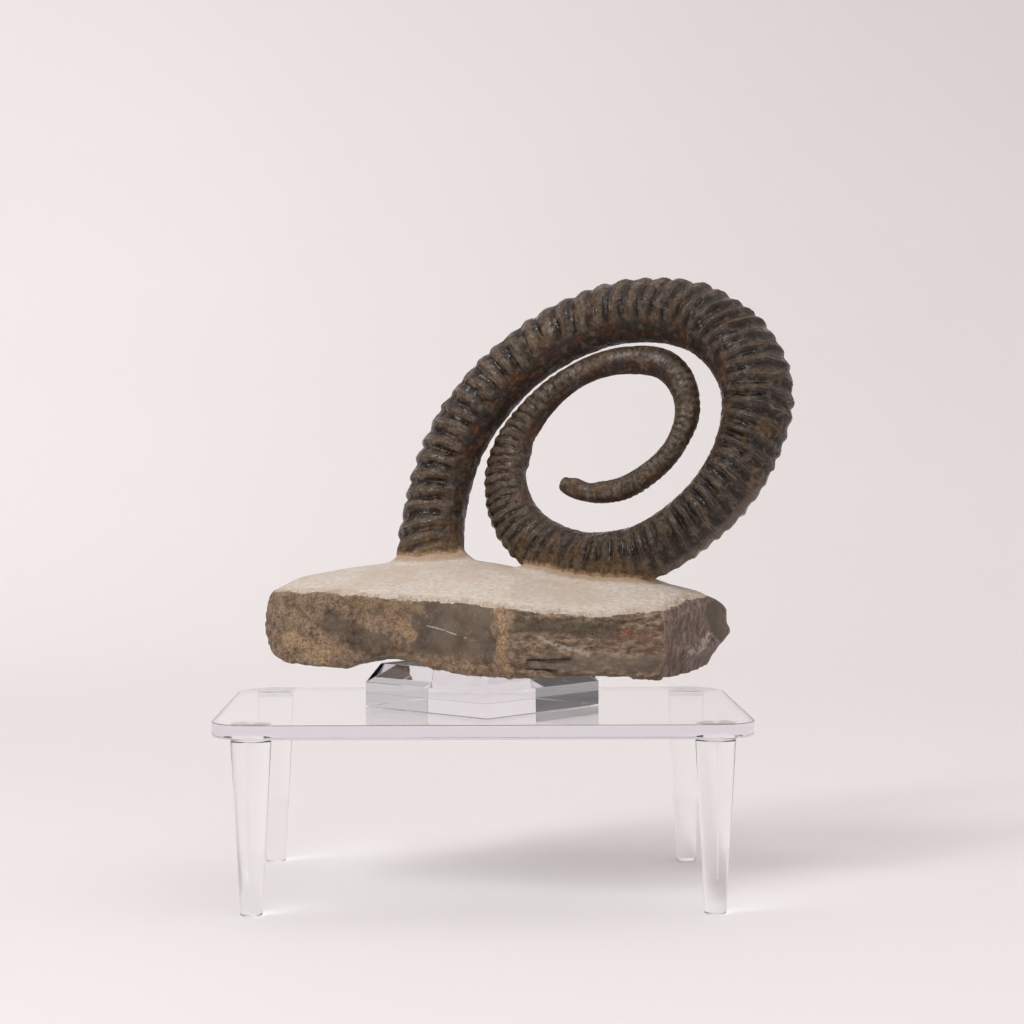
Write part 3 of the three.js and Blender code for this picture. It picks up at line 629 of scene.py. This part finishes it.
def shell_rings(table, strengths, offsets, lengths, points):
    """Rings of the shell: positions in the coil's own frame, and what the material needs to know."""
    rows = len(lengths)
    degrees = np.interp(lengths, table["length"], table["degrees"])

    def along_coil(name, at=lengths):
        return np.interp(at, table["length"], table[name])

    def stretch(start, end, width):
        return between(degrees, start, end, width)[:, None]

    def centreline(at):
        return np.stack([np.interp(at, table["length"], table["centre"][:, k]) for k in range(3)], 1)

    centre = centreline(lengths)
    tangent = centreline(lengths + 0.5) - centreline(lengths - 0.5)
    tangent /= np.linalg.norm(tangent, axis=1)[:, None]
    outward = np.stack([tangent[:, 2], np.zeros(rows), -tangent[:, 0]], 1)
    half = along_coil("half")[:, None]
    spacing = along_coil("spacing")[:, None]

    around = np.arange(points) * 2 * np.pi / points
    cos = np.cos(around)[None, :]
    sin = np.sin(around)[None, :]
    across = np.array([0.0, 1.0, 0.0])
    base = (
        centre[:, None, :]
        + outward[:, None, :] * (half * cos)[:, :, None]
        + across * (half * WHORL_BREADTH * sin)[:, :, None]
    )
    flat = base.reshape(-1, 3)

    def grain(size, octaves, seed):
        return lumps(flat, size, octaves, seed).reshape(rows, points)

    # Across the flank the ribs lean and wander a little.
    lean = half * along_coil("lean")[:, None] * cos
    wander = spacing * (0.11 * grain(19.0, 2, 31.0) + 0.09 * grain(6.5, 2, 5.0))
    phase = np.interp(lengths[:, None] + lean + wander, table["length"], table["ribs"])
    rib = np.clip(np.floor(phase).astype(int), 0, len(strengths) - 2)
    share = phase - rib + offsets[rib] * (1 - np.abs(2 * (phase - rib) - 1))
    peak = along_coil("peak")[:, None]
    skewed = np.where(share < peak, 0.5 * share / peak, 0.5 + 0.5 * (share - peak) / (1 - peak))
    wave = np.clip(0.5 - 0.5 * np.cos(2 * np.pi * skewed), 0, 1)

    dorsal = smoothstep(-np.broadcast_to(cos, (rows, points)), 0.36, 0.8)
    outer_side = smoothstep(cos, 0.15, 0.6)
    inner_flank = smoothstep(-cos, 0.0, 0.4)
    on_right = stretch(650, 760, 30)
    profile = wave ** (0.68 + 0.6 * on_right * outer_side - 0.08 * inner_flank)
    groove = stretch(655, 745, 20) * (1 - 0.6 * outer_side)
    profile = profile - 0.2 * groove * np.exp(-(((skewed - 0.6) / 0.07) ** 2))
    relief = along_coil("relief")[:, None] * (1 - outer_side - inner_flank)
    relief = relief + along_coil("outer_relief")[:, None] * outer_side
    relief = relief + along_coil("inner_relief")[:, None] * inner_flank
    full_relief = np.maximum(relief, 0.3 * along_coil("relief")[:, None])
    relief = relief * (1 - 0.92 * dorsal)
    fade = relief / np.maximum(full_relief, 0.2) * np.clip(full_relief / 1.2, 0.35, 1)
    uneven = np.clip(0.95 + 0.4 * grain(11.0, 2, 77.0), 0.5, 1.25)
    relief = relief * strengths[rib] * uneven
    lift = relief * (profile - 0.5)

    # Growth lines run with the ribs; the stone is uneven, and has lost a chip here and there.
    size = smoothstep(half, 4, 18)
    lines = np.stack([phase * spacing, half * np.broadcast_to(around, (rows, points)) * 0.16, 0 * phase], 2)
    lift += (0.07 + 0.09 * size) * lumps(lines.reshape(-1, 3), 1.7, 3, 12.0).reshape(rows, points)
    lift += (0.15 + 0.3 * size) * grain(21.0, 2, 11.0)
    lift += (0.1 + 0.16 * size) * grain(4.2, 3, 3.0)
    chips = smoothstep(grain(4.6, 3, 90.0), 0.26, 0.4)
    lift -= (0.12 + 0.28 * size) * chips
    inner_lump = stretch(548, 556, 7) * smoothstep(-cos, 0.3, 0.9)
    lift += 1.6 * inner_lump

    # The tip is broken off blunt, and swells on its inner edge.
    inner_edge = smoothstep(-cos, -0.2, 0.8)
    swell = 1.7 * np.exp(-(((lengths - 9) / 5) ** 2)) - 0.7 * np.exp(-(((lengths - 20) / 3.5) ** 2))
    lift += swell[:, None] * inner_edge
    tip = np.clip(lengths / 2.2, 0, 1)[:, None]
    closing = np.sqrt(np.clip(1 - (1 - tip) ** 2.6, 0.03, 1))
    radial = ((half + lift) * cos * closing)[:, :, None]
    sideways = ((half * WHORL_BREADTH + lift) * sin * closing)[:, :, None]
    place = centre[:, None, :] + outward[:, None, :] * radial + across * sideways
    place[:, :, 0] += np.exp(-((lengths / 5) ** 2))[:, None] * (0.4 + 0.9 * cos)
    # Painted shade: the inner side's dark band is at full strength under the arches of the coil, and widened under
    # the inner whorl's arch.
    shaded = 0.5 + 0.5 * np.maximum(between(degrees, 400, 520, 20), between(degrees, 765, 900, 30))
    painted_shade_under_arch = stretch(405, 455, 15) * smoothstep(-cos, 0.1, 0.6)
    worn_edge = stretch(658, 698, 10) * smoothstep(cos, 0.86, 0.98)
    rusty_outside = 0.6 * stretch(275, 370, 25) * smoothstep(cos, 0.3, 0.8)
    # Painted shade over the right limb, strongest on its outer side.
    shade = stretch(615, 765, 30) * smoothstep(cos, -1.1, 0.3)
    streak_place = np.stack([phase * spacing, 0.25 * half * cos + 0 * phase, 0.25 * half * sin + 0 * phase], 2)
    marks = {
        "rib": wave * fade + 0.55 * (1 - fade),
        "crested": fade,
        "split": groove + 0 * phase,
        "rib_turn": rib + skewed,
        "dorsal": np.maximum(np.maximum(dorsal, painted_shade_under_arch) * shaded[:, None], rusty_outside),
        "shade": shade,
        "stout": smoothstep(half, 7, 15) + 0 * phase,
        "chips": np.maximum(chips, 1.5 * worn_edge),
        "rib_grain": streak_place * MM,
    }
    return place, marks


def coil_to_world():
    place = Matrix.Translation(TABLE_CENTRE + Vector(COIL_CENTRE) * MM)
    turn = Matrix.Rotation(math.radians(-TURN), 4, "Z")
    lean = Matrix.Rotation(math.radians(-LEAN_BACK), 4, "X")
    return place @ turn @ lean @ Matrix.Scale(MM, 4)


def ring_faces(first, rows, points):
    """Quads over rows of points, the first row starting at vertex first."""
    i = np.arange(points)
    faces = []
    for row in range(rows - 1):
        a = first + row * points
        faces += np.stack([a + i, a + points + i, a + points + (i + 1) % points, a + (i + 1) % points], 1).tolist()
    return faces


def bridge_faces(a_first, a_points, b_first, b_points):
    """Triangles between two rings of different counts."""
    faces = []
    i = j = 0
    while i < a_points or j < b_points:
        if j >= b_points or (i < a_points and (i + 0.5) / a_points <= (j + 0.5) / b_points):
            faces.append((a_first + i, b_first + j % b_points, a_first + (i + 1) % a_points))
            i += 1
        else:
            faces.append((a_first + i % a_points, b_first + j, b_first + (j + 1) % b_points))
            j += 1
    return faces


def set_attribute(mesh, name, values):
    """A number, or a vector, for each vertex."""
    kind, field = ("FLOAT", "value") if np.ndim(values) == 1 else ("FLOAT_VECTOR", "vector")
    layer = mesh.attributes.new(name, kind, "POINT")
    layer.data.foreach_set(field, np.ascontiguousarray(values, np.float32).ravel())


def build_shell():
    table = coil_table()
    strengths, offsets = rib_strengths(table)
    fine, outer = ring_lengths(table)
    fine_rows, fine_marks = shell_rings(table, strengths, offsets, fine, FINE_RING[0])
    outer_rows, outer_marks = shell_rings(table, strengths, offsets, outer, OUTER_RING[0])
    fine_count = fine_rows.shape[0] * fine_rows.shape[1]
    outer_count = outer_rows.shape[0] * outer_rows.shape[1]
    ends = np.stack([fine_rows[0].mean(0), outer_rows[-1].mean(0)])
    points = np.concatenate([fine_rows.reshape(-1, 3), outer_rows.reshape(-1, 3), ends])
    faces = ring_faces(0, len(fine), FINE_RING[0])
    faces += ring_faces(fine_count, len(outer), OUTER_RING[0])
    faces += bridge_faces(fine_count - FINE_RING[0], FINE_RING[0], fine_count, OUTER_RING[0])
    tip, end = fine_count + outer_count, fine_count + outer_count + 1
    faces += [(tip, i, (i + 1) % FINE_RING[0]) for i in range(FINE_RING[0])]
    last = fine_count + outer_count - OUTER_RING[0]
    faces += [(end, last + (i + 1) % OUTER_RING[0], last + i) for i in range(OUTER_RING[0])]
    mesh = bpy.data.meshes.new("ammonite")
    mesh.from_pydata(points.tolist(), [], faces)
    mesh.transform(coil_to_world())
    # No rib stands above the solid.
    places = vertex_positions(mesh)
    places[:, 2] = np.minimum(places[:, 2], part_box("ammonite_shell")[1].z)
    mesh.vertices.foreach_set("co", places.ravel())
    for name, fine_mark in fine_marks.items():
        outer_mark = outer_marks[name]
        shape = (-1,) + fine_mark.shape[2:]
        ends = np.stack([fine_mark[0, 0], outer_mark[-1, 0]])
        set_attribute(mesh, name, np.concatenate([fine_mark.reshape(shape), outer_mark.reshape(shape), ends]))
    mesh.shade_smooth()
    bm = bmesh.new()
    bm.from_mesh(mesh)
    bmesh.ops.recalc_face_normals(bm, faces=bm.faces)
    bm.to_mesh(mesh)
    bm.free()
    return add_object("ammonite", mesh)


# ---- the matrix

MATRIX_VOXEL = 1.06
UNDERSIDE_RISE = 13  # how far the underside rises at the back, right of the middle
MATRIX_CENTRE = (6, -8)
# The rim of the matrix's top, from its left end along the front and round the back: [x, y, height].
MATRIX_RIM = [
    (-130.5, -6, 177), (-121, -24, 177), (-105, -39, 178), (-82, -52, 177), (-57, -61, 176),
    (-30, -69, 174), (-8, -75, 173), (15, -79, 171), (42, -81, 168), (66, -80, 167),
    (88, -76, 168), (104, -70, 169), (121, -51, 174), (136, -32, 176), (145.5, -10, 170),
    (145, 9, 168), (134, 27, 171), (111, 41, 173), (78, 51, 174), (42, 58, 176),
    (4, 61, 178), (-36, 57, 179), (-72, 48, 178), (-101, 34, 177), (-121, 16, 177),
]
# Bedding slits in the front: ends [x, z], half-width and depth.
SLITS = [
    ((25, 142.6), (48, 143.8), 1.5, 3.0),
    ((24, 137.6), (40, 137.4), 1.3, 2.5),
]
# Below this line the front stands out as a ledge: [x, z].
LEDGE = [(26, 157), (31, 155.3), (44, 150), (57, 146.9), (101, 145)]


def rim_height(points):
    """Height of the rim in each point's direction from the middle of the matrix."""
    cx, cy = MATRIX_CENTRE
    dx, dy = points[:, 0] - cx, points[:, 1] - cy
    height = np.full(len(points), 172.0)
    for (ax, ay, a_high), (bx, by, b_high) in zip(MATRIX_RIM, MATRIX_RIM[1:] + MATRIX_RIM[:1]):
        cross = dx * (by - ay) - dy * (bx - ax)
        cross = np.where(np.abs(cross) < 1e-9, 1e-9, cross)
        share = ((ax - cx) * dy - (ay - cy) * dx) / cross
        within = (cross > 0) & (share >= 0) & (share <= 1)
        height[within] = (a_high + (b_high - a_high) * share)[within]
    return height


def facets(points, size, seed):
    """Stone broken along planes: in each cell the surface tilts its own way. About -0.5 to 0.5."""
    heights = np.empty(len(points))
    for i, p in enumerate(points / size + seed):
        cell = noise.voronoi(Vector(p))[1][0]
        turned = (math.sin(cell.x * 91.7), math.sin(cell.y * 73.1 + cell.x), math.sin(cell.z * 57.9 + cell.y))
        heights[i] = (p[0] - cell.x) * turned[0] + (p[1] - cell.y) * turned[1] + (p[2] - cell.z) * turned[2]
    return heights


def vertex_positions(mesh):
    co = np.zeros(len(mesh.vertices) * 3)
    mesh.vertices.foreach_get("co", co)
    return co.reshape(-1, 3)


def vertex_normals(mesh):
    normals = np.zeros(len(mesh.vertices) * 3)
    mesh.vertex_normals.foreach_get("vector", normals)
    return normals.reshape(-1, 3)


def apply_modifier(obj, kind, **settings):
    modifier = obj.modifiers.new(kind.lower(), kind)
    for key, value in settings.items():
        setattr(modifier, key, value)
    bpy.context.view_layer.update()
    graph = bpy.context.evaluated_depsgraph_get()
    made = bpy.data.meshes.new_from_object(obj.evaluated_get(graph), depsgraph=graph)
    obj.modifiers.clear()
    obj.data = made


def smooth_spikes(mesh, points):
    """Moves each point a little of the way to the middle of its neighbours."""
    edges = np.zeros(len(mesh.edges) * 2, int)
    mesh.edges.foreach_get("vertices", edges)
    a, b = edges.reshape(-1, 2).T
    total = np.zeros_like(points)
    np.add.at(total, a, points[b])
    np.add.at(total, b, points[a])
    count = np.bincount(a, minlength=len(points)) + np.bincount(b, minlength=len(points))
    points += 0.4 * (total / count[:, None] - points)


def build_matrix(shell):
    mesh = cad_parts["matrix_block"].data.copy()
    block = add_object("matrix", mesh)
    mesh.materials.clear()
    apply_modifier(block, "REMESH", mode="VOXEL", voxel_size=MATRIX_VOXEL * MM)
    apply_modifier(block, "SMOOTH", factor=0.5, iterations=5)
    mesh = block.data
    points = (vertex_positions(mesh) - np.array(TABLE_CENTRE)) / MM
    normals = vertex_normals(mesh)
    x, y, z = points.T

    jag = 0.9 * lumps(points, 13.0, 2, 33.0) + 0.7 * lumps(points, 5.0, 3, 8.0) + 0.5 * lumps(points, 1.9, 2, 4.0)
    top = smoothstep(z - rim_height(points) + jag, -0.3, 0.9) * smoothstep(normals[:, 2], 0.1, 0.3)
    front = smoothstep(-y, 10, 30) * smoothstep(-normals[:, 1], -0.2, 0.2)
    drift = x + 5 * lumps(points, 9.0, 2, 60.0)
    facet = between(drift, -38, 4, 4) * front * smoothstep(z + 3 * lumps(points, 8.0, 2, 44.0), 141, 147)
    bedded = between(drift, 18, 100, 3) * front
    grooved = smoothstep(x + 1.2 * lumps(points, 4.0, 2, 9.0), 101, 104) * smoothstep(-y, -30, 5)
    rough = 1 - np.clip(facet + bedded + 0.8 * grooved, 0, 1)

    # The broken sides.
    along = np.where((bedded > 0.5)[:, None], points * (0.4, 0.7, 1.5), points)
    broken = 2.4 * facets(along, 19.0, 3.0) + 1.2 * facets(along, 7.5, 8.0)
    broken += 0.7 * rough * lumps(points, 4.2, 3, 21.0) + 0.2 * lumps(points, 2.2, 2, 2.0)
    broken += 1.5 * lumps(points, 22.0, 3, 15.0)
    broken *= 1 - 0.75 * facet
    broken *= (1 - 0.5 * grooved) * (1 - 0.7 * smoothstep(x, 134, 146))
    ledge_height = np.interp(x, *zip(*LEDGE)) + 0.8 * lumps(points, 6.0, 2, 71.0)
    broken += 3.0 * smoothstep(ledge_height - z, -0.9, 1.1) * between(x, 32, 98, 6) * front
    for (ax, az), (bx, bz), half_width, depth in SLITS:
        share = np.clip(((x - ax) * (bx - ax) + (z - az) * (bz - az)) / ((bx - ax) ** 2 + (bz - az) ** 2), 0, 1)
        away = np.hypot(x - ax - share * (bx - ax), z - az - share * (bz - az))
        broken -= depth * front * (1 - smoothstep(away, 0.3 * half_width, half_width))
    side = 1 - smoothstep(z - rim_height(points), -3.5, -0.2)
    side *= 0.35 + 0.65 * smoothstep(normals[:, 2], -0.85, -0.35)
    points += normals * (broken * side)[:, None]
    points += normals * (0.12 * lumps(points, 6.0, 3, 4.0) * top)[:, None]
    # Right of the middle the underside rises towards the back: the clear block mirrors it from below.
    behind = smoothstep(y, 14, 52) * between(x, 40, 88, 8)
    points[:, 2] += UNDERSIDE_RISE * behind * (1 - smoothstep(z, 136, 172))

    smooth_spikes(mesh, points)
    rim = top * (1 - smoothstep(z - rim_height(points) + jag, 0.8, 4.0))

    tree = BVHTree.FromObject(shell, bpy.context.evaluated_depsgraph_get())
    away = np.full(len(points), 14.0)
    for i in np.nonzero(z > 165)[0]:
        away[i] = (tree.find_nearest(Vector(points[i] * MM) + TABLE_CENTRE, 0.014)[3] or 0.014) / MM
    contact = 1 - smoothstep(away, 0, 9)
    at_limb = 1 - smoothstep(x, -5, 5)
    reach = 3.5 + 4.5 * at_limb
    at_heel = np.exp(-(((x - 98) / 8) ** 2))
    points[:, 2] += (1.0 + 1.8 * at_limb + 2.0 * at_heel) * np.clip(1 - away / reach, 0, 1) ** 2 * top
    mesh.vertices.foreach_set("co", ((points * MM) + np.array(TABLE_CENTRE)).ravel())
    marks = dict(top=top, rim=rim, contact=contact, rough=rough, facet=facet, bedded=bedded, grooved=grooved)
    # The under mark picks out downward faces, which the material paints pale grey: painted light.
    for name, values in dict(marks, front=front, under=smoothstep(-normals[:, 2], 0.7, 0.95)).items():
        set_attribute(mesh, name, values)
    mesh.shade_smooth()
    mesh.update()
    return block


def dust_shell(shell, block):
    """Marks how close each point of the shell is to the matrix."""
    tree = BVHTree.FromObject(block, bpy.context.evaluated_depsgraph_get())
    points = vertex_positions(shell.data)
    reach = 0.02
    near = points[:, 2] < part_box("matrix_block")[1].z + reach
    away = np.full(len(points), reach)
    away[near] = [tree.find_nearest(Vector(p), reach)[3] or reach for p in points[near]]
    set_attribute(shell.data, "dust", 1 - np.clip(away / reach, 0, 1))


# ---- the acrylic pieces


ROUND_SEGMENTS = 96
PLATE = 8 * MM  # thickness of the table's top
CORNER_RADIUS = 24 * MM
BOSS_HEIGHT = 2 * MM  # under the top, where each leg plugs in
LEGS = ["riser_leg_" + side for side in ("front_left", "front_right", "back_left", "back_right")]
LEG_RADIUS = (6.2 * MM, 11.4 * MM)  # foot and top
FLOOR_GAP = 0.2 * MM  # between the feet and the floor
BOSS_LIP = 0.2 * MM  # by which a boss is wider than its leg
SHOULDER_GAP = 0.3 * MM  # between a leg's top and its boss


def mesh_from(bm, name):
    bmesh.ops.recalc_face_normals(bm, faces=bm.faces)
    mesh = bpy.data.meshes.new(name)
    bm.to_mesh(mesh)
    bm.free()
    return mesh


def lathe(name, profile, centre):
    """A closed turned solid: profile is (radius, height) from the axis back to the axis."""
    segments = ROUND_SEGMENTS
    bm = bmesh.new()
    rings = []
    for radius, height in profile:
        if radius == 0:
            rings.append([bm.verts.new((centre[0], centre[1], height))])
        else:
            angles = [2 * math.pi * i / segments for i in range(segments)]
            turned = [(centre[0] + radius * math.cos(a), centre[1] + radius * math.sin(a)) for a in angles]
            rings.append([bm.verts.new((x, y, height)) for x, y in turned])
    for low, high in zip(rings, rings[1:]):
        for i in range(segments):
            j = (i + 1) % segments
            if len(low) == 1:
                bm.faces.new((low[0], high[j], high[i]))
            elif len(high) == 1:
                bm.faces.new((low[i], low[j], high[0]))
            else:
                bm.faces.new((low[i], low[j], high[j], high[i]))
    return mesh_from(bm, name)


def finish_acrylic(obj, node, material, smooth_angle=32):
    obj.data.shade_smooth()
    obj.data.set_sharp_from_angle(angle=math.radians(smooth_angle))
    obj.data.materials.append(material)
    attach(obj, "root")
    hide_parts(node)


def arc(centre, radius, start, end, steps):
    """Points (r, z) on an arc, in degrees."""
    angles = [math.radians(start + (end - start) * i / steps) for i in range(steps + 1)]
    return [(centre[0] + radius * math.cos(a), centre[1] + radius * math.sin(a)) for a in angles]


def build_leg(node, material):
    low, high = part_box(node)
    centre = ((low.x + high.x) / 2, (low.y + high.y) / 2)
    foot, top = LEG_RADIUS
    bottom = low.z + FLOOR_GAP
    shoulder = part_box("riser_top")[1].z - PLATE - BOSS_HEIGHT - SHOULDER_GAP
    foot_edge, top_edge = 1.5 * MM, 0.5 * MM
    profile = [(0, bottom)]
    profile += arc((foot - foot_edge, bottom + foot_edge), foot_edge, -90, 0, 6)
    profile += arc((top - top_edge, shoulder - top_edge), top_edge, 0, 90, 5)
    profile.append((0, shoulder))
    mesh = lathe("clear_" + node, profile, centre)
    finish_acrylic(add_object("clear_" + node, mesh), node, material)


def rounded_rectangle(width, depth, radius, steps):
    points = []
    for corner, (sx, sy) in enumerate(((1, 1), (-1, 1), (-1, -1), (1, -1))):
        for i in range(steps + 1):
            angle = math.radians(90 * corner + 90 * i / steps)
            x = sx * (width / 2 - radius) + radius * math.cos(angle)
            points.append((x, sy * (depth / 2 - radius) + radius * math.sin(angle)))
    return points


def build_table_top(material):
    low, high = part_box("riser_top")
    width, depth = high.x - low.x, high.y - low.y
    middle = (low + high) / 2
    bottom = high.z - PLATE
    edge = 0.3 * MM
    quarter = [math.radians(a) for a in range(0, 91, 15)]
    curve = [(edge * (1 - math.sin(a)), edge * (1 - math.cos(a))) for a in quarter]
    beside = 0.3 * MM  # rings close beside each rounded edge keep the shading of the flat faces flat
    curve = [(edge + beside, 0)] + curve + [(0, edge + beside)]
    sections = [(inset, bottom + rise) for inset, rise in curve]
    sections += [(inset, high.z - rise) for inset, rise in reversed(curve)]
    bm = bmesh.new()
    rings = []
    for inset, z in sections:
        outline = rounded_rectangle(width - 2 * inset, depth - 2 * inset, CORNER_RADIUS - inset, 16)
        rings.append([bm.verts.new((middle.x + x, middle.y + y, z)) for x, y in outline])
    for a, b in zip(rings, rings[1:]):
        for i in range(len(a)):
            j = (i + 1) % len(a)
            bm.faces.new((a[i], a[j], b[j], b[i]))
    bm.faces.new(rings[-1])
    bm.faces.new(list(reversed(rings[0])))
    top = add_object("clear_riser_top", mesh_from(bm, "clear_riser_top"))
    for leg in LEGS:
        centre = node_middle(leg)
        radius = LEG_RADIUS[1] + BOSS_LIP
        under = bottom - BOSS_HEIGHT
        profile = [(0, under)] + arc((radius - 0.4 * MM, under + 0.4 * MM), 0.4 * MM, -90, 0, 4)
        profile += [(radius, bottom + 1 * MM), (0, bottom + 1 * MM)]
        boss = add_object("boss", lathe("boss", profile, (centre.x, centre.y)))
        apply_modifier(top, "BOOLEAN", operation="UNION", object=boss, solver="EXACT")
        bpy.data.objects.remove(boss)
    finish_acrylic(top, "riser_top", material)


def build_block(material):
    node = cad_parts["acrylic_block"]
    block = add_object("clear_block", node.data.copy())
    block.data.materials.clear()
    bm = bmesh.new()
    bm.from_mesh(block.data)
    bmesh.ops.remove_doubles(bm, verts=bm.verts, dist=0.00005)
    bmesh.ops.dissolve_limit(bm, angle_limit=math.radians(2), verts=bm.verts, edges=bm.edges)
    bmesh.ops.bevel(bm, geom=bm.edges[:], offset=0.25 * MM, segments=2, profile=0.6, affect="EDGES")
    bm.to_mesh(block.data)
    bm.free()
    finish_acrylic(block, "acrylic_block", material, 1)


# ---- assembly

place_camera()
sweep_stage()
light_scene()

shell = build_shell()
matrix = build_matrix(shell)
dust_shell(shell, matrix)
shell.data.materials.append(shell_material())
matrix.data.materials.append(matrix_material())
for piece, node in ((shell, "ammonite_shell"), (matrix, "matrix_block")):
    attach(piece, "root")
    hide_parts(node)

acrylic = acrylic_material()
build_table_top(acrylic)
build_block(acrylic)
for leg in LEGS:
    build_leg(leg, acrylic)

bpy.context.scene.view_settings.view_transform = "Standard"
